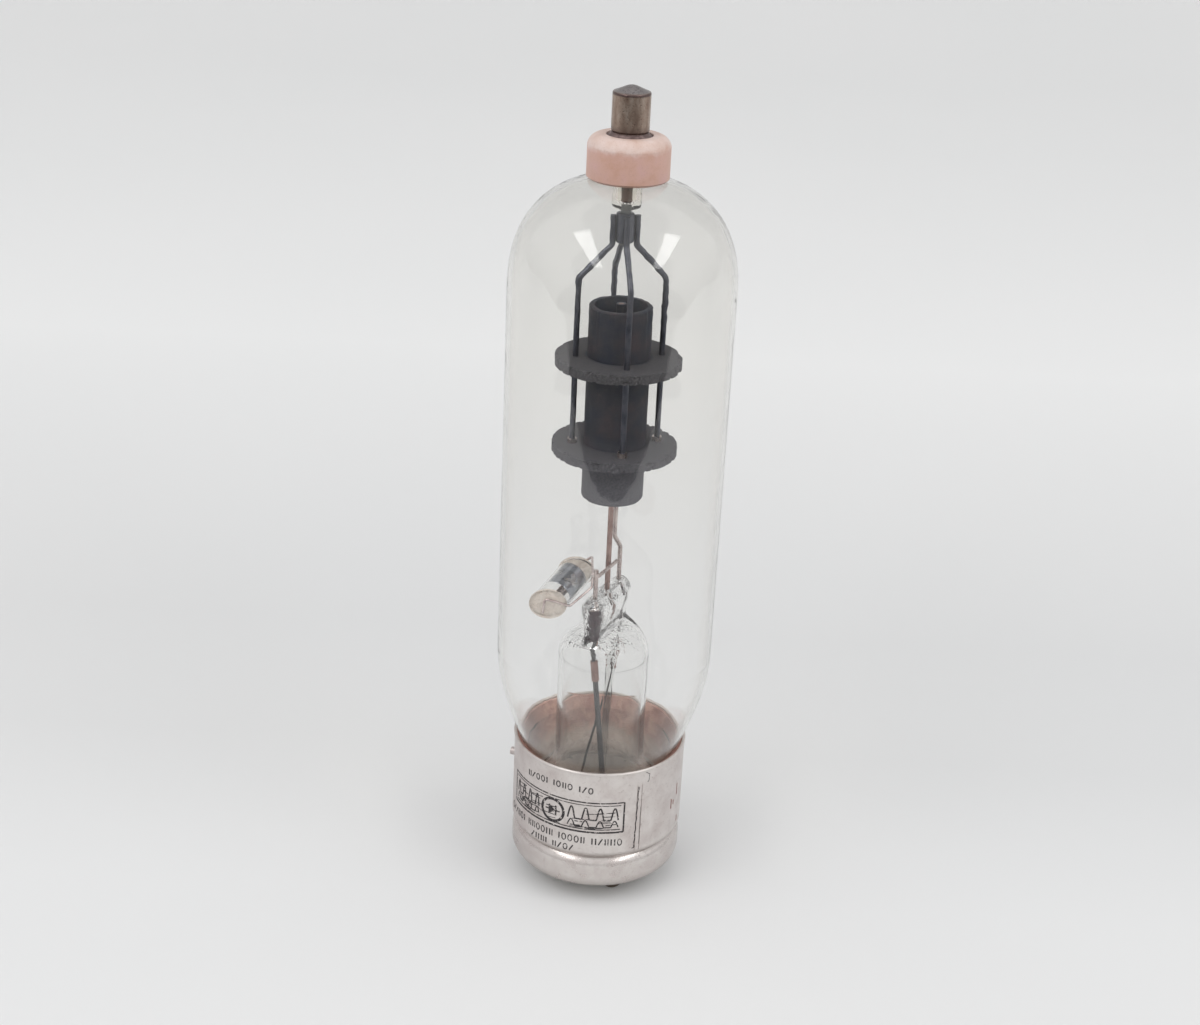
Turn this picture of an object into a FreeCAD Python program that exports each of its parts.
import FreeCAD, Part
import math
import os

# Half-wave high-vacuum rectifier tube with a top anode cap and a four-pin bayonet base.
# Millimetres, +Z up. The origin is on the tube's axis, at the tips of the contact pins.
# -Y is the front. Angles are in degrees from +X, anticlockwise from above.

Vec = FreeCAD.Vector
UP = Vec(0, 0, 1)
TOUCH = 0.02                    # air left between two pieces that meet on a curved face

# ---- Base --------------------------------------------------------------------------------
PIN_LENGTH = 4.8                # contact pins below the base
PIN_RADIUS = 2.38               # 3/16 inch across
PIN_SHANK = 2.1                 # thinner part of a pin inside the disc
PIN_BORE = 0.8
PIN_CIRCLE = 12.7               # radius of the circle through the four pins
FIRST_PIN_ANGLE = -66.0
PIN_TOP = 13.0
PIN_SOCKET = 10.8               # floor of the hole in a pin's upper end that takes a lead

SHEET = 0.6                     # thickness of the base's sheet metal
CUP_RADIUS = 22.9
CUP_BOTTOM = PIN_LENGTH
CUP_CORNER = 4.2                # large round corner under the base
CUP_SHOULDER = 4.0              # round shoulder just below the sleeve
CUP_SHOULDER_START = 11.8
CUP_SHOULDER_TURN = 50.0
SPIGOT_TOP = 25.0               # the cup runs up inside the sleeve to here
SLEEVE_FOOT = 15.9
SHELL_RADIUS = 23.0
SHELL_TOP = CUP_BOTTOM + 36.6
SEAM_ANGLE = -60.6              # lap seam of the sleeve
SEAM_WIDTH = 1.36

DISC_LOWER_RADIUS = CUP_RADIUS - CUP_CORNER - 0.4   # insulating disc in the cup's mouth
DISC_RADIUS = 21.9
DISC_BOTTOM = CUP_BOTTOM + 0.4
DISC_STEP = 7.6
DISC_TOP = 10.0

BAYONET_ANGLE = FIRST_PIN_ANGLE + 225.0
BAYONET_HEIGHT = 28.0          # above the spigot, so the pin sits in the sleeve alone
BAYONET_RADIUS = 1.1
BAYONET_SHANK = 0.75
BAYONET_REACH = 26.0

# ---- Bulb --------------------------------------------------------------------------------
GLASS = 1.1
BULB_RADIUS = 28.3
NECK_RADIUS = 20.6
NECK_BOTTOM = 24.0
NECK_TOP = 37.0                 # the neck widens to the full bulb between these two heights
BELLY = 67.0
NECK_EASE = 1.2
DOME_START = 164.9
DOME_HEIGHT = 28.6
DOME_SQUARENESS = 0.835         # 1 is a plain ellipse, less is fuller in the shoulder
DOME_TOP = DOME_START + DOME_HEIGHT

# ---- Anode seal, cap and collar ----------------------------------------------------------
SLEEVE_RADIUS = 3.55
SLEEVE_WALL = 1.2
SLEEVE_BOTTOM = 185.5
LEAD_RADIUS = 1.35
COLLAR_RADIUS = 10.05
COLLAR_BORE = 5.6
COLLAR_BOTTOM = 193.3
COLLAR_TOP = 203.4
COLLAR_CREASE = 200.95          # the straight side ends here in a faint edge
COLLAR_FLAT = 7.2               # radius where the flat top begins
CAP_RADIUS = 4.6
CAP_WALL = 0.4
CAP_FOOT = 202.3
CAP_NECK = 3.9                  # bore of the cap's crimped foot, inside the collar
CAP_BARREL = 204.5              # the full barrel starts above the crimp
CAP_SHOULDER = 213.6
CAP_TOP = 215.0

# ---- Anode -------------------------------------------------------------------------------
ANODE_RADIUS = 7.9
ANODE_BORE = 6.6
ANODE_BOTTOM = 110.4
ANODE_TOP = 161.4
FIN_RADIUS = 15.9
FIN_THICKNESS = 2.5
UPPER_FIN = 145.9               # undersides of the two fins
LOWER_FIN = 123.0
HUB_RADIUS = 2.25
HUB_BOTTOM = 177.3
HUB_TOP = 184.5
ROD_RADIUS = 0.73
ROD_CIRCLE = 10.9
ROD_BEND_TOP = 176.6
ROD_BEND_BOTTOM = 168.2
ROD_ANGLES = {"front": -79.0, "right": 11.0, "rear": 101.0, "left": 191.0}

# ---- Stem, leads and filament --------------------------------------------------------------
STEM_RADIUS = 12.0
STEM_WALL = 1.2
STEM_SHOULDER = 65.0
SHOULDER_OVERLAP = 3.0          # how far the shoulder's glass runs down inside the tube's wall
PRESS_TOP = 84.0
PRESS_BOTTOM = 73.0
PRESS_WIDTH = 21.0
PRESS_THICKNESS = 5.2
PRESS_ANGLE = 65.5              # direction of the press's broad side
LEAD_OFFSET = 7.1               # each lead from the axis, along the broad side
BEAD_RADII = {-1: 1.75, 1: 0.8}  # sealing glass round the front and the rear lead
BEAD_BOTTOM = PRESS_BOTTOM - 0.6
BEAD_TOP = 81.4
POST_RADIUS = 0.6
POST_TOP = 92.2
WIRE_RADII = {-1: 0.7, 1: 0.35}
SPLICE_WALL = 0.26
CENTRE_ROD_RADIUS = 0.7
CENTRE_ROD_TOP = 161.8
JOG_LOW = 93.5                  # the side rod steps in towards the axis between these heights
JOG_HIGH = 98.0
HELIX_RADIUS = 3.0
HELIX_PITCH = 3.65
HELIX_TURNS = 12
HELIX_BOTTOM = 114.5
HELIX_TOP = HELIX_BOTTOM + HELIX_PITCH * HELIX_TURNS
FILAMENT_RADIUS = 0.35
CROSSBAR_HEIGHT = 91.3
CROSSBAR_RADIUS = 0.5

# ---- Getter trap -----------------------------------------------------------------------------
GETTER_RADIUS = 4.3
GETTER_WALL = 0.5
GETTER_FRONT = Vec(-14.9, -9.1, 83.3)
GETTER_REAR = Vec(-8.4, 3.2, 86.95)
GETTER_FACING = Vec(0, -0.973, -0.232)  # the trap's two ends face this way, aslant to its axis
GETTER_WIRE_RADIUS = 0.32
MICA_RADIUS = 4.85
MICA = 0.25


# ---- Shape helpers -------------------------------------------------------------------------
def polar(radius, angle, height):
    """Point at a radius and an angle about the tube's axis."""
    turn = math.radians(angle)
    return Vec(radius * math.cos(turn), radius * math.sin(turn), height)


def line(start, end):
    """Straight edge."""
    return Part.LineSegment(start, end).toShape()


def smooth(points):
    """Smooth edge through points that a formula gives."""
    curve = Part.BSplineCurve()
    curve.interpolate(points)
    return curve.toShape()


def arc(start, middle, end):
    """Circular edge through three points."""
    return Part.Arc(start, middle, end).toShape()


def flat(radius, height):
    """Point of a turned outline, in the XZ plane."""
    return Vec(radius, 0, height)


def turned(edges):
    """Solid of revolution about the tube's axis from the edges of a closed outline."""
    face = Part.Face(Part.Wire(Part.__sortEdges__(edges)))
    return face.revolve(Vec(0, 0, 0), UP, 360)


def turned_outline(*corners):
    """Solid of revolution from the straight-sided outline through (radius, height) corners."""
    points = [flat(*corner) for corner in corners]
    face = Part.Face(Part.makePolygon(points + points[:1]))
    return face.revolve(Vec(0, 0, 0), UP, 360)


def tube(outer, inner, bottom, top):
    """Upright tube on the axis."""
    return turned_outline((inner, bottom), (outer, bottom), (outer, top), (inner, top))


def rod(radius, start, end):
    """Straight round rod between two points."""
    run = end - start
    return Part.makeCylinder(radius, run.Length, start, run)


def bent_rod(radius, bend, *points):
    """Round rod along straight runs, with a round bend at each inner point."""
    edges = []
    start = points[0]
    for before, corner, after in zip(points, points[1:], points[2:]):
        into = (corner - before).normalize()
        out = (after - corner).normalize()
        half_turn = into.getAngle(out) / 2
        setback = bend * math.tan(half_turn)
        bulge = bend / math.cos(half_turn) - bend
        arc_start = corner - into * setback
        arc_end = corner + out * setback
        arc_middle = corner + (out - into).normalize() * bulge
        edges.append(line(start, arc_start))
        edges.append(arc(arc_start, arc_middle, arc_end))
        start = arc_end
    edges.append(line(start, points[-1]))
    section = Part.Wire(Part.Circle(points[0], points[1] - points[0], radius).toShape())
    return Part.Wire(edges).makePipeShell([section], True, False)


def coil(radius, wire_radius, pitch, turns, bottom, start_angle):
    """Helix of round wire about the tube's axis."""
    path = Part.Wire(Part.makeHelix(pitch, pitch * turns, radius))
    slope = Vec(0, 2 * math.pi * radius, pitch)
    section = Part.Wire(Part.Circle(Vec(radius, 0, 0), slope, wire_radius).toShape())
    spring = path.makePipeShell([section], True, True)
    spring.rotate(Vec(0, 0, 0), UP, start_angle)
    spring.translate(Vec(0, 0, bottom))
    return spring


def around_axis(shape, angle):
    """Copy of a shape turned about the tube's axis."""
    copy = shape.copy()
    copy.rotate(Vec(0, 0, 0), UP, angle)
    return copy


# ---- Bulb ------------------------------------------------------------------------------------
def dome_point(inset, turn):
    """Point of the dome's outline; turn runs from 0 at its start to 90 degrees on the axis."""
    angle = math.radians(turn)
    radius = (BULB_RADIUS - inset) * math.cos(angle) ** DOME_SQUARENESS
    height = (DOME_HEIGHT - inset) * math.sin(angle) ** DOME_SQUARENESS
    return flat(radius, DOME_START + height)


def dome_turn(inset, radius):
    """How far round the dome's outline a radius is reached, in degrees."""
    share = radius / (BULB_RADIUS - inset)
    return math.degrees(math.acos(share ** (1 / DOME_SQUARENESS)))


def neck_point(inset, share):
    """Point of the widening between neck and belly; share runs from 0 below to 1 above."""
    ease = math.sin(math.pi / 2 * share) ** NECK_EASE
    radius = NECK_RADIUS + (BULB_RADIUS - NECK_RADIUS) * ease - inset
    return flat(radius, NECK_TOP + (BELLY - NECK_TOP) * share)


def bulb_side(inset, inner_radius):
    """Edges of the bulb's outline from the neck's lower end to a radius at the top."""
    steps = 12
    neck = [neck_point(inset, step / steps) for step in range(steps + 1)]
    last_turn = dome_turn(inset, inner_radius)
    dome = [dome_point(inset, last_turn * (step / steps) ** 1.5) for step in range(steps + 1)]
    foot = flat(NECK_RADIUS - inset, NECK_BOTTOM)
    return [line(foot, neck[0]), smooth(neck), line(neck[-1], dome[0]), smooth(dome)]


def glass_bulb():
    """Blown bulb, closed below by the stem's flare and above by the anode seal's sleeve."""
    outer = bulb_side(0, SLEEVE_RADIUS + TOUCH)
    inner = bulb_side(GLASS, SLEEVE_RADIUS + TOUCH)
    foot = line(flat(NECK_RADIUS - GLASS, NECK_BOTTOM), flat(NECK_RADIUS, NECK_BOTTOM))
    lip = line(outer[-1].Vertexes[-1].Point, inner[-1].Vertexes[-1].Point)
    return turned(outer + inner + [foot, lip])


def filled_bulb():
    """The bulb's outside as a full solid, for fitting other pieces against it."""
    outer = bulb_side(-TOUCH, 0.5)
    top = outer[-1].Vertexes[-1].Point
    axis = [flat(0, NECK_BOTTOM), flat(0, top.z)]
    closing = [line(flat(NECK_RADIUS + TOUCH, NECK_BOTTOM), axis[0]), line(*axis), line(axis[1], top)]
    return turned(outer + closing)


# ---- Anode seal, cap and collar --------------------------------------------------------------
def anode_seal_sleeve():
    """Glass sleeve that hangs into the dome and is sealed round the anode lead."""
    lead_hole = LEAD_RADIUS + TOUCH
    inner = SLEEVE_RADIUS - SLEEVE_WALL
    lip = 0.9
    top = DOME_TOP - 0.3
    return turned([
        line(flat(lead_hole, SLEEVE_BOTTOM), flat(SLEEVE_RADIUS - lip, SLEEVE_BOTTOM)),
        arc(flat(SLEEVE_RADIUS - lip, SLEEVE_BOTTOM),
            flat(SLEEVE_RADIUS - lip * 0.293, SLEEVE_BOTTOM + lip * 0.293),
            flat(SLEEVE_RADIUS, SLEEVE_BOTTOM + lip)),
        line(flat(SLEEVE_RADIUS, SLEEVE_BOTTOM + lip), flat(SLEEVE_RADIUS, top)),
        line(flat(SLEEVE_RADIUS, top), flat(inner, top)),
        line(flat(inner, top), flat(inner, SLEEVE_BOTTOM + 2.2)),
        line(flat(inner, SLEEVE_BOTTOM + 2.2), flat(lead_hole, SLEEVE_BOTTOM + 1.4)),
        line(flat(lead_hole, SLEEVE_BOTTOM + 1.4), flat(lead_hole, SLEEVE_BOTTOM)),
    ])


def anode_seal_eyelet():
    """Metal eyelet round the lead, near the top of the sleeve."""
    return tube(SLEEVE_RADIUS - SLEEVE_WALL - 0.1, LEAD_RADIUS + TOUCH, SLEEVE_BOTTOM + 6.0, SLEEVE_BOTTOM + 7.2)


def anode_lead_rod():
    """Rod from the cap, down through the seal, to the hub."""
    return rod(LEAD_RADIUS, flat(0, HUB_BOTTOM - 0.6), flat(0, CAP_SHOULDER - 1.0))


def cap_collar():
    """Ceramic ring with a domed shoulder above a faint edge, which keeps the cap off the glass."""
    crease = flat(COLLAR_RADIUS, COLLAR_CREASE)
    rounding = flat(COLLAR_RADIUS - 0.9, COLLAR_CREASE + 1.6)
    top_edge = flat(COLLAR_FLAT, COLLAR_TOP)
    bottom = COLLAR_BOTTOM - 1.5
    underside = flat(COLLAR_RADIUS - 2.0, bottom)
    ring = turned([
        line(flat(COLLAR_BORE, bottom), underside),
        line(underside, flat(COLLAR_RADIUS, COLLAR_BOTTOM)),
        line(flat(COLLAR_RADIUS, COLLAR_BOTTOM), crease),
        arc(crease, rounding, top_edge),
        line(top_edge, flat(COLLAR_BORE + 0.15, COLLAR_TOP)),
        line(flat(COLLAR_BORE + 0.15, COLLAR_TOP), flat(COLLAR_BORE, COLLAR_TOP - 0.15)),
        line(flat(COLLAR_BORE, COLLAR_TOP - 0.15), flat(COLLAR_BORE, bottom)),
    ])
    return ring.cut(filled_bulb())


def collar_cement():
    """Cement that fills the collar's bore above the dome."""
    plug = tube(COLLAR_BORE - TOUCH, LEAD_RADIUS + 1.45, COLLAR_BOTTOM - 1.5, CAP_FOOT - 1.1)
    return plug.cut(filled_bulb())


def cap_foot_ring():
    """Solder that beds the cap's crimped foot in the collar's bore and runs up to the barrel."""
    crimp = CAP_NECK + CAP_WALL + TOUCH
    return turned_outline(
        (CAP_NECK - 1.0, CAP_FOOT - 1.0), (COLLAR_BORE - 0.1, CAP_FOOT - 1.0),
        (COLLAR_BORE - 0.1, COLLAR_TOP - 0.35), (CAP_RADIUS + 0.45, COLLAR_TOP - 0.1),
        (CAP_RADIUS + 0.1, COLLAR_TOP + 0.35), (crimp + 0.1, CAP_BARREL - 0.5),
        (crimp, CAP_BARREL - 0.5), (crimp, CAP_FOOT - TOUCH), (CAP_NECK - 1.0, CAP_FOOT - TOUCH))


def top_cap():
    """Drawn metal cap with a crimped foot and a low cone on top."""
    inner = CAP_RADIUS - CAP_WALL
    ceiling = CAP_SHOULDER - CAP_WALL
    bead = 0.5
    return turned([
        line(flat(CAP_NECK, CAP_FOOT), flat(CAP_NECK + CAP_WALL, CAP_FOOT)),
        line(flat(CAP_NECK + CAP_WALL, CAP_FOOT), flat(CAP_NECK + CAP_WALL, CAP_BARREL - 0.4)),
        line(flat(CAP_NECK + CAP_WALL, CAP_BARREL - 0.4), flat(CAP_RADIUS, CAP_BARREL)),
        line(flat(CAP_RADIUS, CAP_BARREL), flat(CAP_RADIUS, CAP_SHOULDER - bead)),
        arc(flat(CAP_RADIUS, CAP_SHOULDER - bead),
            flat(CAP_RADIUS - bead * 0.293, CAP_SHOULDER - bead * 0.293),
            flat(CAP_RADIUS - bead, CAP_SHOULDER)),
        line(flat(CAP_RADIUS - bead, CAP_SHOULDER), flat(1.2, CAP_TOP - 0.15)),
        line(flat(1.2, CAP_TOP - 0.15), flat(0.6, CAP_TOP)),
        line(flat(0.6, CAP_TOP), flat(0, CAP_TOP)),
        line(flat(0, CAP_TOP), flat(0, CAP_TOP - 0.6)),
        line(flat(0, CAP_TOP - 0.6), flat(inner - 0.4, ceiling - 0.1)),
        line(flat(inner - 0.4, ceiling - 0.1), flat(inner, ceiling - 0.6)),
        line(flat(inner, ceiling - 0.6), flat(inner, CAP_BARREL + 0.1)),
        line(flat(inner, CAP_BARREL + 0.1), flat(CAP_NECK, CAP_BARREL - 0.3)),
        line(flat(CAP_NECK, CAP_BARREL - 0.3), flat(CAP_NECK, CAP_FOOT)),
    ])


# ---- Anode -----------------------------------------------------------------------------------
def anode_hub():
    """Sleeve crimped on the anode lead; the four hanger rods are welded to its side."""
    bore = LEAD_RADIUS + TOUCH
    rim = 0.3
    return turned_outline(
        (bore, HUB_BOTTOM), (HUB_RADIUS - rim, HUB_BOTTOM), (HUB_RADIUS, HUB_BOTTOM + rim),
        (HUB_RADIUS, HUB_TOP - rim), (HUB_RADIUS - rim, HUB_TOP), (bore, HUB_TOP))


def hanger_rod(angle):
    """Rod down the hub's side, out to the fins and down through both of them."""
    inner = HUB_RADIUS + ROD_RADIUS + TOUCH
    return bent_rod(
        ROD_RADIUS, 1.6,
        polar(inner, angle, HUB_TOP - 0.6),
        polar(inner, angle, ROD_BEND_TOP),
        polar(ROD_CIRCLE, angle, ROD_BEND_BOTTOM),
        polar(ROD_CIRCLE, angle, LOWER_FIN - 0.7))


def graphite_anode():
    """Graphite tube turned in one piece with two fins, drilled for the hanger rods."""
    edge = 0.35
    rim = 0.6
    corners = [(ANODE_BORE, ANODE_BOTTOM), (ANODE_RADIUS - rim, ANODE_BOTTOM),
               (ANODE_RADIUS, ANODE_BOTTOM + rim)]
    for underside in (LOWER_FIN, UPPER_FIN):
        top = underside + FIN_THICKNESS
        corners += [(ANODE_RADIUS, underside), (FIN_RADIUS - edge, underside),
                    (FIN_RADIUS, underside + edge), (FIN_RADIUS, top - edge),
                    (FIN_RADIUS - edge, top), (ANODE_RADIUS, top)]
    corners += [(ANODE_RADIUS, ANODE_TOP - rim), (ANODE_RADIUS - rim, ANODE_TOP),
                (ANODE_BORE, ANODE_TOP)]
    anode = turned_outline(*corners)
    for angle in ROD_ANGLES.values():
        hole = rod(ROD_RADIUS + TOUCH, polar(ROD_CIRCLE, angle, LOWER_FIN - 1),
                   polar(ROD_CIRCLE, angle, UPPER_FIN + FIN_THICKNESS + 1))
        anode = anode.cut(hole)
    return anode


def rod_end_ferrules():
    """Four small ferrules that stop the lower fin on its rods."""
    bottom = LOWER_FIN + FIN_THICKNESS + TOUCH
    ferrule = tube(1.25, ROD_RADIUS + TOUCH, bottom, bottom + 1.1)
    ferrule.translate(Vec(ROD_CIRCLE, 0, 0))
    return Part.makeCompound([around_axis(ferrule, angle) for angle in ROD_ANGLES.values()])


# ---- Stem and leads --------------------------------------------------------------------------
def oval(width, thickness, squareness, height):
    """Closed oval wire; a squareness of 2 is an ellipse, and more gives fuller corners."""
    power = 2.0 / squareness
    points = []
    for step in range(32):
        angle = 2 * math.pi * step / 32
        across = math.copysign(abs(math.cos(angle)) ** power, math.cos(angle))
        through = math.copysign(abs(math.sin(angle)) ** power, math.sin(angle))
        points.append(Vec(width / 2 * across, thickness / 2 * through, height))
    curve = Part.BSplineCurve()
    curve.interpolate(Points=points, PeriodicFlag=True)
    return Part.Wire(curve.toShape())


def lead_point(side, height):
    """Point on one of the two outer leads in the press; side is -1 in front and 1 at the rear."""
    return polar(side * LEAD_OFFSET, PRESS_ANGLE, height)


def flare_wall():
    """Stem tube with its lower end flared out to meet the neck."""
    flare_edge = NECK_RADIUS - GLASS
    flare_height = 14.0
    turn_in = flare_edge - STEM_RADIUS
    radius = (turn_in ** 2 + flare_height ** 2) / (2 * turn_in)
    sweep = math.asin(flare_height / radius)
    rim_top = NECK_BOTTOM - TOUCH
    centre = (STEM_RADIUS + radius, rim_top + flare_height)

    def flare(inset):
        """The flare's arc, moved inwards by the thickness of the glass."""
        reach = radius + inset
        bends = [flat(centre[0] - reach * math.cos(turn), centre[1] - reach * math.sin(turn))
                 for turn in (0, sweep / 2, sweep)]
        return arc(*bends)

    outer = flare(0)
    inner = flare(STEM_WALL)
    outer_top = flat(STEM_RADIUS, STEM_SHOULDER)
    inner_top = flat(STEM_RADIUS - STEM_WALL, STEM_SHOULDER)
    rim = [flat(flare_edge, rim_top), flat(NECK_RADIUS, rim_top),
           flat(NECK_RADIUS, rim_top - STEM_WALL), inner.Vertexes[-1].Point]
    return turned([
        outer, line(outer.Vertexes[0].Point, outer_top), line(outer_top, inner_top),
        line(inner_top, inner.Vertexes[0].Point), inner,
        line(rim[3], rim[2]), line(rim[2], rim[1]), line(rim[1], rim[0]),
    ])


def shoulder_sections(round_width, flat_width, flat_thickness, bottom, top):
    """Ovals that narrow from the round stem tube to the flat press."""
    start = bottom - SHOULDER_OVERLAP
    rise = top - bottom
    return [
        oval(round_width, round_width, 2.0, start),
        oval(round_width, round_width, 2.0, (start + bottom) / 2),
        oval(round_width * 0.99, round_width * 0.95, 2.03, bottom + rise * 0.28),
        oval(round_width * 0.96, round_width * 0.79, 2.1, bottom + rise * 0.6),
        oval(round_width * 0.92, round_width * 0.5, 2.25, bottom + rise * 0.86),
        oval(flat_width, flat_thickness, 2.5, top),
    ]


def stem_glass():
    """Stem in one piece of glass: flare, tube and the flat press that grips the leads."""
    width = PRESS_WIDTH
    thick = PRESS_THICKNESS
    inset = 0.04                # keeps the shoulder's skirt inside the tube's wall
    outer = STEM_RADIUS - inset
    bore = STEM_RADIUS - STEM_WALL + inset
    hollow_top = PRESS_BOTTOM - 2.2
    outside = Part.makeLoft(
        shoulder_sections(2 * outer, width + 0.6, thick + 0.9, STEM_SHOULDER + 1.0, PRESS_BOTTOM)
        + [oval(width, thick, 3.0, PRESS_BOTTOM + 4.0),
           oval(width - 0.4, thick, 3.0, PRESS_TOP - 0.8),
           oval(width - 1.8, thick - 1.6, 2.6, PRESS_TOP)], True)
    hollow = Part.makeLoft(
        shoulder_sections(2 * bore, width - 6.0, thick - 2.2, STEM_SHOULDER + 0.8, hollow_top), True)
    press = around_axis(outside.cut(hollow), PRESS_ANGLE)
    glass = flare_wall().fuse(press)
    for side in (-1, 1):
        socket = rod(BEAD_RADII[side] + TOUCH, lead_point(side, 60.0), lead_point(side, BEAD_TOP + TOUCH))
        wire_hole = rod(POST_RADIUS + TOUCH, lead_point(side, 60.0), lead_point(side, PRESS_TOP + 1))
        glass = glass.cut(socket).cut(wire_hole)
    anchor = rod(CENTRE_ROD_RADIUS + TOUCH, flat(0, PRESS_TOP - 8), flat(0, PRESS_TOP + 1))
    return glass.cut(anchor)


def lead_bead(side):
    """Dark sealing-glass bead between one lead and the press."""
    bead = rod(BEAD_RADII[side], lead_point(side, BEAD_BOTTOM), lead_point(side, BEAD_TOP))
    wire = rod(POST_RADIUS + TOUCH, lead_point(side, 60.0), lead_point(side, PRESS_TOP + 1))
    return bead.cut(wire)


def exhaust_tube():
    """Glass tube that the bulb was pumped through, tipped off inside the base."""
    radius = 1.2
    bore = 0.8
    bottom = DISC_TOP + 1.5
    length = 56.0
    tipped = turned_outline(
        (0, 0), (radius * 0.3, 0), (radius * 0.75, radius * 0.6), (radius, radius * 1.6),
        (radius, length), (bore, length), (bore, radius * 1.9), (bore * 0.5, radius), (0, radius))
    tipped.rotate(Vec(0, 0, 0), Vec(0, 1, 0), 1.3)
    tipped.translate(Vec(0.65, 0, bottom))
    return tipped


def lead_pin(side):
    """Foot of the contact pin that one outer lead runs down to."""
    return polar(PIN_CIRCLE, FIRST_PIN_ANGLE + 90 * (1 + side), 0)


def lead_route(side):
    """Centre line of one outer lead, from the press down into its contact pin."""
    bends = {-1: [Vec(-1.7, -6.4, 59.0), Vec(1.15, -8.0, 33.5)],
             1: [Vec(2.8, 6.9, 56.0), Vec(-0.9, 7.6, 41.5)]}
    return [lead_point(side, BEAD_BOTTOM - 0.15), *bends[side], lead_pin(side) + UP * 20.0,
            lead_pin(side) + UP * (PIN_SOCKET + 0.1)]


def lead_wire(side):
    """Flexible lead from the press to a contact pin."""
    return bent_rod(WIRE_RADII[side], 2.0, *lead_route(side))


def splice_ends(side):
    """Where the copper splice on one lead starts and ends."""
    top, below = lead_route(side)[:2]
    return top + (below - top) * 0.45, top + (below - top) * 0.9


def lead_splices():
    """Copper sleeves that join the seal's wires to the flexible leads, one on each side."""
    sleeves = []
    for side in (-1, 1):
        top, bottom = splice_ends(side)
        radius = WIRE_RADII[side] + TOUCH
        bore = rod(radius, top + (top - bottom), bottom + (bottom - top))
        sleeves.append(rod(radius + SPLICE_WALL, top, bottom).cut(bore))
    return Part.makeCompound(sleeves)


# ---- Filament --------------------------------------------------------------------------------
def filament_post():
    """Front lead above the press."""
    return rod(POST_RADIUS, lead_point(-1, BEAD_BOTTOM), lead_point(-1, POST_TOP))


def filament_side_rod():
    """Rear lead above the press, stepped in to reach the lower end of the filament."""
    return bent_rod(
        POST_RADIUS, 2.0,
        lead_point(1, BEAD_BOTTOM),
        lead_point(1, JOG_LOW),
        polar(HELIX_RADIUS, PRESS_ANGLE, JOG_HIGH),
        polar(HELIX_RADIUS, PRESS_ANGLE, HELIX_BOTTOM - 1.0))


def filament_centre_rod():
    """Rod up the axis that carries the top of the filament."""
    return rod(CENTRE_ROD_RADIUS, flat(0, PRESS_TOP - 8 + TOUCH), flat(0, CENTRE_ROD_TOP))


def filament_crossbar():
    """Bar welded beside the front post and the centre rod, along the press."""
    beside = polar(CENTRE_ROD_RADIUS + CROSSBAR_RADIUS + TOUCH, PRESS_ANGLE - 90, CROSSBAR_HEIGHT)
    return rod(CROSSBAR_RADIUS, polar(-LEAD_OFFSET - 1.2, PRESS_ANGLE, 0) + beside,
               polar(2.6, PRESS_ANGLE, 0) + beside)


def filament_helix():
    """Tungsten filament wound in an open helix round the centre rod."""
    return coil(HELIX_RADIUS, FILAMENT_RADIUS, HELIX_PITCH, HELIX_TURNS, HELIX_BOTTOM, PRESS_ANGLE)


def filament_clamp():
    """Cup on the side rod's end that the lower end of the filament is welded to."""
    cup = turned_outline(
        (POST_RADIUS + TOUCH, HELIX_BOTTOM - 3.2), (1.05, HELIX_BOTTOM - 3.2),
        (1.05, HELIX_BOTTOM - FILAMENT_RADIUS - TOUCH), (0, HELIX_BOTTOM - FILAMENT_RADIUS - TOUCH),
        (0, HELIX_BOTTOM - 1.0 + TOUCH), (POST_RADIUS + TOUCH, HELIX_BOTTOM - 1.0 + TOUCH))
    cup.translate(polar(HELIX_RADIUS, PRESS_ANGLE, 0))
    return cup


def filament_hook():
    """Sleeve on the centre rod's top with an arm over the filament's upper end."""
    arm_radius = 0.32
    arm_height = HELIX_TOP + FILAMENT_RADIUS + arm_radius + TOUCH
    sleeve = tube(1.25, CENTRE_ROD_RADIUS + TOUCH, arm_height - 0.5, CENTRE_ROD_TOP)
    arm = rod(arm_radius, flat(1.0, arm_height), flat(HELIX_RADIUS + 0.3, arm_height))
    return around_axis(sleeve.fuse(arm), PRESS_ANGLE)


# ---- Getter trap -----------------------------------------------------------------------------
def getter_axis():
    """Direction of the getter trap, from front to rear."""
    return (GETTER_REAR - GETTER_FRONT).normalize()


def getter_tube():
    """Short glass tube, cut slanting, that keeps the getter's film off the bulb."""
    spare = getter_axis() * 5
    outer = rod(GETTER_RADIUS, GETTER_FRONT - spare, GETTER_REAR + spare)
    inner = rod(GETTER_RADIUS - GETTER_WALL, GETTER_FRONT - spare * 2, GETTER_REAR + spare * 2)
    depth = (GETTER_FRONT - GETTER_REAR).dot(GETTER_FACING)
    slab = rod(4 * GETTER_RADIUS, GETTER_FRONT, GETTER_FRONT - GETTER_FACING * depth)
    return outer.cut(inner).common(slab)


def getter_disc_front():
    """Mica disc over the trap's front end."""
    return rod(MICA_RADIUS, GETTER_FRONT + GETTER_FACING * TOUCH,
               GETTER_FRONT + GETTER_FACING * (MICA + TOUCH))


def getter_disc_rear():
    """Mica disc over the trap's rear end, with a hole for the wire."""
    disc = rod(MICA_RADIUS, GETTER_REAR - GETTER_FACING * TOUCH,
               GETTER_REAR - GETTER_FACING * (MICA + TOUCH))
    return disc.cut(rod(GETTER_WIRE_RADIUS + TOUCH, GETTER_REAR + GETTER_FACING,
                        GETTER_REAR - GETTER_FACING))


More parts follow.
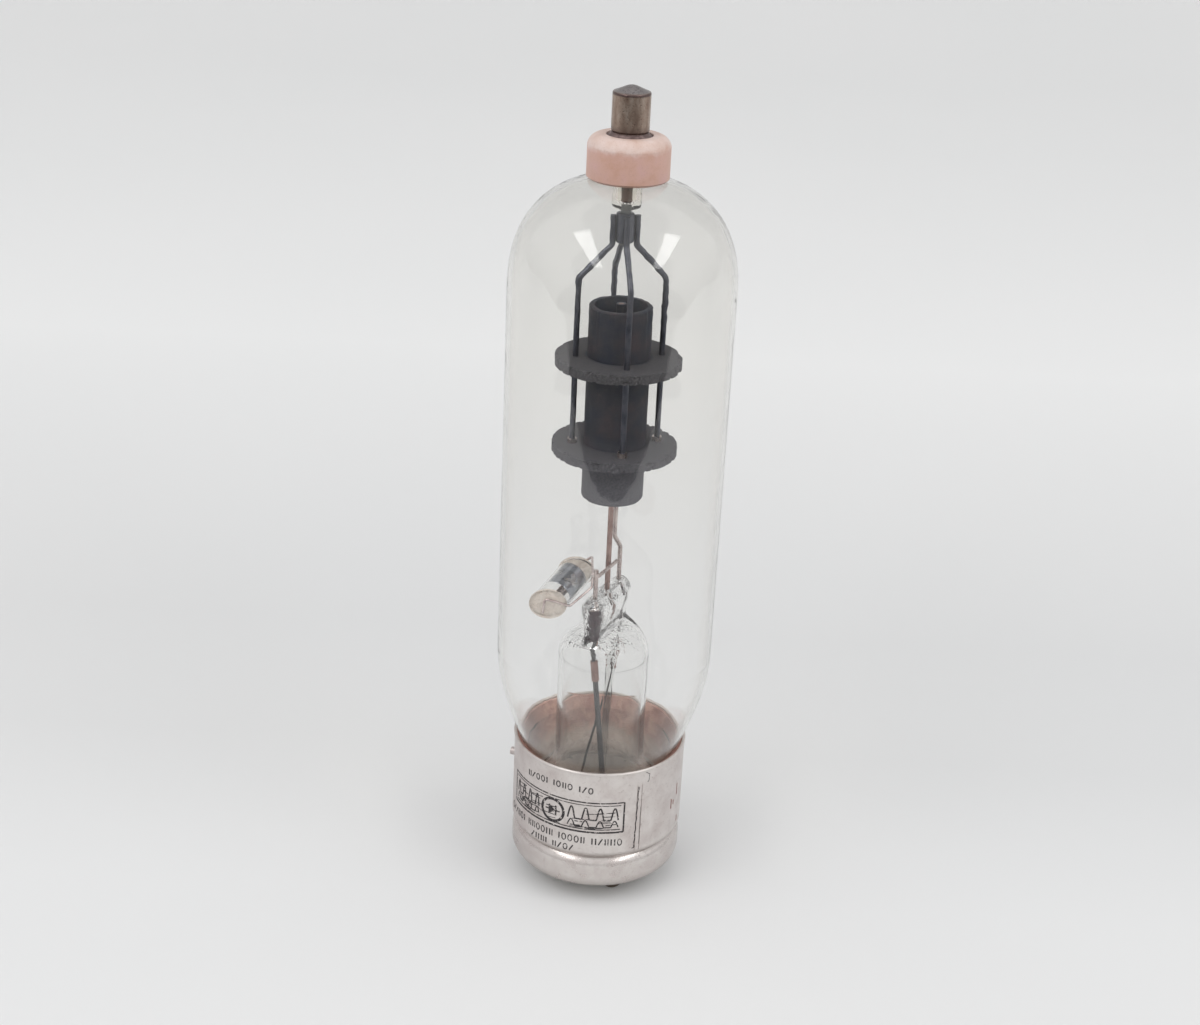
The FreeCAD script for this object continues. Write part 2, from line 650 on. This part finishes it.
def getter_strip():
    """Folded metal strip inside the trap that carried the getter."""
    along = getter_axis()
    middle = GETTER_FRONT + (GETTER_REAR - GETTER_FRONT) * 0.5
    channel = Part.makeBox(5.0, 2.4, 1.1, Vec(-2.5, -1.2, -1.4))
    channel = channel.cut(Part.makeBox(7.0, 1.8, 1.1, Vec(-3.5, -0.9, -1.1)))
    channel.Placement = FreeCAD.Placement(middle, FreeCAD.Rotation(Vec(1, 0, 0), along))
    return channel


def getter_wire_front():
    """Wire from the front post, along the trap and down over its front disc."""
    beside_post = lead_point(-1, 0) + Vec(-0.96, -0.2, 0)
    outwards = GETTER_FACING
    face = GETTER_FRONT + outwards * (MICA + GETTER_WIRE_RADIUS + 2 * TOUCH)
    right = Vec(1, 0, 0)
    up = right.cross(outwards) * -1
    return bent_rod(
        GETTER_WIRE_RADIUS, 0.9,
        beside_post + UP * 90.2,
        beside_post + UP * 87.4,
        face + right * 5.6 + up * 0.5 + outwards * 0.6,
        face + right * -0.8 + up * 2.1 + outwards * 0.05,
        face + right * -1.3 + up * -2.7 + outwards * 0.05)


def getter_wire_rear():
    """Wire from inside the trap, out through the rear disc and forwards to the front post."""
    beside_post = lead_point(-1, 91.0) - Vec(POST_RADIUS + GETTER_WIRE_RADIUS + TOUCH, 0, 0)
    return bent_rod(
        GETTER_WIRE_RADIUS, 1.0,
        GETTER_REAR + GETTER_FACING,
        GETTER_REAR - GETTER_FACING * 2.6,
        GETTER_REAR - GETTER_FACING * 1.2 + Vec(4.1, 0, 3.7),
        beside_post)


# ---- Base ------------------------------------------------------------------------------------
def base_cup():
    """Drawn cup under the sleeve: open mouth below, round corner, shoulder and spigot."""
    shoulder_turn = math.radians(CUP_SHOULDER_TURN)
    spigot = SHELL_RADIUS - SHEET - TOUCH
    mouth = CUP_RADIUS - CUP_CORNER - 0.35

    def corner(inset):
        """Round corner from the mouth up to the straight side."""
        reach = CUP_CORNER - inset
        centre = flat(CUP_RADIUS - CUP_CORNER, CUP_BOTTOM + CUP_CORNER)
        diagonal = reach * math.sqrt(0.5)
        return arc(centre + Vec(0, 0, -reach), centre + Vec(diagonal, 0, -diagonal),
                   centre + Vec(reach, 0, 0))

    def shoulder(inset):
        """Round shoulder from the straight side up to the groove under the sleeve."""
        reach = CUP_SHOULDER - inset
        centre = flat(CUP_RADIUS - CUP_SHOULDER, CUP_SHOULDER_START)
        points = [centre + Vec(reach * math.cos(turn), 0, reach * math.sin(turn))
                  for turn in (0, shoulder_turn / 2, shoulder_turn)]
        return arc(*points)

    outer = [corner(0), shoulder(0)]
    inner = [corner(SHEET), shoulder(SHEET)]
    groove = outer[1].Vertexes[-1].Point
    hollow = inner[1].Vertexes[-1].Point
    wall = [flat(mouth, CUP_BOTTOM), outer[0].Vertexes[0].Point]
    lip = [flat(mouth, CUP_BOTTOM + SHEET), inner[0].Vertexes[0].Point]
    outside = [groove, flat(spigot, SLEEVE_FOOT), flat(spigot, SPIGOT_TOP)]
    inside = [hollow, flat(spigot - SHEET, SLEEVE_FOOT + 0.3), flat(spigot - SHEET, SPIGOT_TOP)]
    edges = outer + inner + [
        line(*wall), line(*lip), line(wall[0], lip[0]),
        line(outer[0].Vertexes[-1].Point, outer[1].Vertexes[0].Point),
        line(inner[0].Vertexes[-1].Point, inner[1].Vertexes[0].Point),
        line(outside[0], outside[1]), line(outside[1], outside[2]),
        line(inside[0], inside[1]), line(inside[1], inside[2]), line(outside[2], inside[2]),
    ]
    return turned(edges)


def base_sleeve():
    """Rolled metal sleeve with a lap seam and a rolled rim, round the neck."""
    bead = 0.45
    inside = SHELL_RADIUS - SHEET
    roll = 0.45                 # the foot's outer edge rolls in by this much
    foot_edge = flat(SHELL_RADIUS - roll, SLEEVE_FOOT)
    foot_middle = flat(SHELL_RADIUS - roll * 0.293, SLEEVE_FOOT + roll * 1.4)
    foot_top = flat(SHELL_RADIUS, SLEEVE_FOOT + roll * 3.5)
    sleeve = turned([
        line(flat(inside, SLEEVE_FOOT), foot_edge),
        arc(foot_edge, foot_middle, foot_top),
        line(foot_top, flat(SHELL_RADIUS, SHELL_TOP - 2 * bead)),
        arc(flat(SHELL_RADIUS, SHELL_TOP - 2 * bead), flat(SHELL_RADIUS + bead / 2, SHELL_TOP - bead),
            flat(SHELL_RADIUS - bead / 2, SHELL_TOP)),
        line(flat(SHELL_RADIUS - bead / 2, SHELL_TOP), flat(inside, SHELL_TOP - 0.3)),
        line(flat(inside, SHELL_TOP - 0.3), flat(inside, SLEEVE_FOOT)),
    ])
    groove_depth = 0.18
    groove = Part.makeBox(1.0, 0.2, SHELL_TOP - SLEEVE_FOOT - 3.5,
                          Vec(SHELL_RADIUS - groove_depth, -0.1, SLEEVE_FOOT - 1.0))
    half_seam = math.degrees(SEAM_WIDTH / 2 / SHELL_RADIUS)
    for side in (-1, 1):
        sleeve = sleeve.cut(around_axis(groove, SEAM_ANGLE + side * half_seam))
    return sleeve.cut(bayonet_hole())


def bayonet_hole():
    """Hole in the sleeve for the shank of the bayonet pin."""
    return along_bayonet(BAYONET_SHANK + TOUCH, SHELL_RADIUS - 3, SHELL_RADIUS + 3)


def bayonet_pin():
    """Round locating pin that stands out of the sleeve, riveted through it by a thinner shank."""
    start = SHELL_RADIUS - SHEET + TOUCH
    head = SHELL_RADIUS + TOUCH
    shank = along_bayonet(BAYONET_SHANK, start, head + 0.5)
    return shank.fuse(along_bayonet(BAYONET_RADIUS, head, BAYONET_REACH))


def along_bayonet(radius, start, end):
    """Rod along the bayonet pin's axis between two distances from the tube's axis."""
    return rod(radius, polar(start, BAYONET_ANGLE, BAYONET_HEIGHT),
               polar(end, BAYONET_ANGLE, BAYONET_HEIGHT))


def base_cement():
    """Cement between the sleeve and the bulb's neck, filled up nearly to the rim."""
    plug = turned_outline(
        (0, SPIGOT_TOP + TOUCH), (SHELL_RADIUS - SHEET - TOUCH, SPIGOT_TOP + TOUCH),
        (SHELL_RADIUS - SHEET - TOUCH, SHELL_TOP - 0.8), (0, SHELL_TOP - 0.4))
    return plug.cut(filled_bulb())


def pin_angles():
    """Angles of the four contact pins."""
    return [FIRST_PIN_ANGLE + 90 * index for index in range(4)]


def base_insulator():
    """Ceramic disc in the cup's mouth that holds the contact pins."""
    edge = 0.5
    disc = turned_outline(
        (0, DISC_BOTTOM), (DISC_LOWER_RADIUS - edge, DISC_BOTTOM),
        (DISC_LOWER_RADIUS, DISC_BOTTOM + edge), (DISC_LOWER_RADIUS, DISC_STEP),
        (DISC_RADIUS, DISC_STEP), (DISC_RADIUS, DISC_TOP), (0, DISC_TOP))
    for angle in pin_angles():
        hole = rod(PIN_SHANK + TOUCH, polar(PIN_CIRCLE, angle, 0), polar(PIN_CIRCLE, angle, 20))
        disc = disc.cut(hole)
    return disc


def contact_pin(angle):
    """Solid pin that grips the disc between a step and a flange, with a hole on top for a lead."""
    chamfer = 0.4
    flange_bottom = DISC_TOP + TOUCH
    pin = turned_outline(
        (0, 0), (PIN_RADIUS - chamfer, 0), (PIN_RADIUS, chamfer),
        (PIN_RADIUS, DISC_BOTTOM - TOUCH), (PIN_SHANK, DISC_BOTTOM - TOUCH),
        (PIN_SHANK, flange_bottom), (PIN_RADIUS + 0.9, flange_bottom),
        (PIN_RADIUS + 0.9, flange_bottom + 0.7), (PIN_RADIUS - 0.3, flange_bottom + 0.7),
        (PIN_RADIUS - 0.3, PIN_TOP), (PIN_BORE, PIN_TOP), (PIN_BORE, PIN_SOCKET), (0, PIN_SOCKET))
    pin.translate(polar(PIN_CIRCLE, angle, 0))
    return pin


def pin_solder():
    """Solder round the two leads where they enter their pins."""
    fillets = []
    for side in (-1, 1):
        wire = WIRE_RADII[side] + TOUCH
        fillet = turned_outline((wire, PIN_TOP + TOUCH), (PIN_RADIUS - 0.6, PIN_TOP + TOUCH),
                                (wire + 0.5, PIN_TOP + 0.6), (wire, PIN_TOP + 1.6))
        fillet.translate(lead_pin(side))
        fillets.append(fillet)
    return Part.makeCompound(fillets)


# ---- Assembly --------------------------------------------------------------------------------
def save(shape, node):
    """Write one sub-part and stop if its shape is broken."""
    if not shape.isValid():
        raise ValueError(node + " is not a valid shape")
    shape.exportStep(os.path.join("parts", node + ".step"))


PIECES = {
    "glass_bulb": glass_bulb,
    "anode_seal_sleeve": anode_seal_sleeve,
    "anode_seal_eyelet": anode_seal_eyelet,
    "anode_lead_rod": anode_lead_rod,
    "cap_collar": cap_collar,
    "collar_cement": collar_cement,
    "cap_foot_ring": cap_foot_ring,
    "top_cap": top_cap,
    "anode_hub": anode_hub,
    "graphite_anode": graphite_anode,
    "rod_end_ferrules": rod_end_ferrules,
    "stem_glass": stem_glass,
    "exhaust_tube": exhaust_tube,
    "lead_splices": lead_splices,
    "filament_post": filament_post,
    "filament_side_rod": filament_side_rod,
    "filament_centre_rod": filament_centre_rod,
    "filament_crossbar": filament_crossbar,
    "filament_helix": filament_helix,
    "filament_clamp": filament_clamp,
    "filament_hook": filament_hook,
    "getter_tube": getter_tube,
    "getter_disc_front": getter_disc_front,
    "getter_disc_rear": getter_disc_rear,
    "getter_strip": getter_strip,
    "getter_wire_front": getter_wire_front,
    "getter_wire_rear": getter_wire_rear,
    "base_cup": base_cup,
    "base_sleeve": base_sleeve,
    "bayonet_pin": bayonet_pin,
    "base_cement": base_cement,
    "base_insulator": base_insulator,
    "pin_solder": pin_solder,
}

os.makedirs("parts", exist_ok=True)
for name, make in PIECES.items():
    save(make(), name)
for place, rod_angle in ROD_ANGLES.items():
    save(hanger_rod(rod_angle), "anode_rod_" + place)
for place, lead_side in (("front", -1), ("rear", 1)):
    save(lead_bead(lead_side), "lead_bead_" + place)
    save(lead_wire(lead_side), "lead_wire_" + place)
for number, pin_angle in enumerate(pin_angles(), start=1):
    save(contact_pin(pin_angle), "contact_pin_" + str(number))
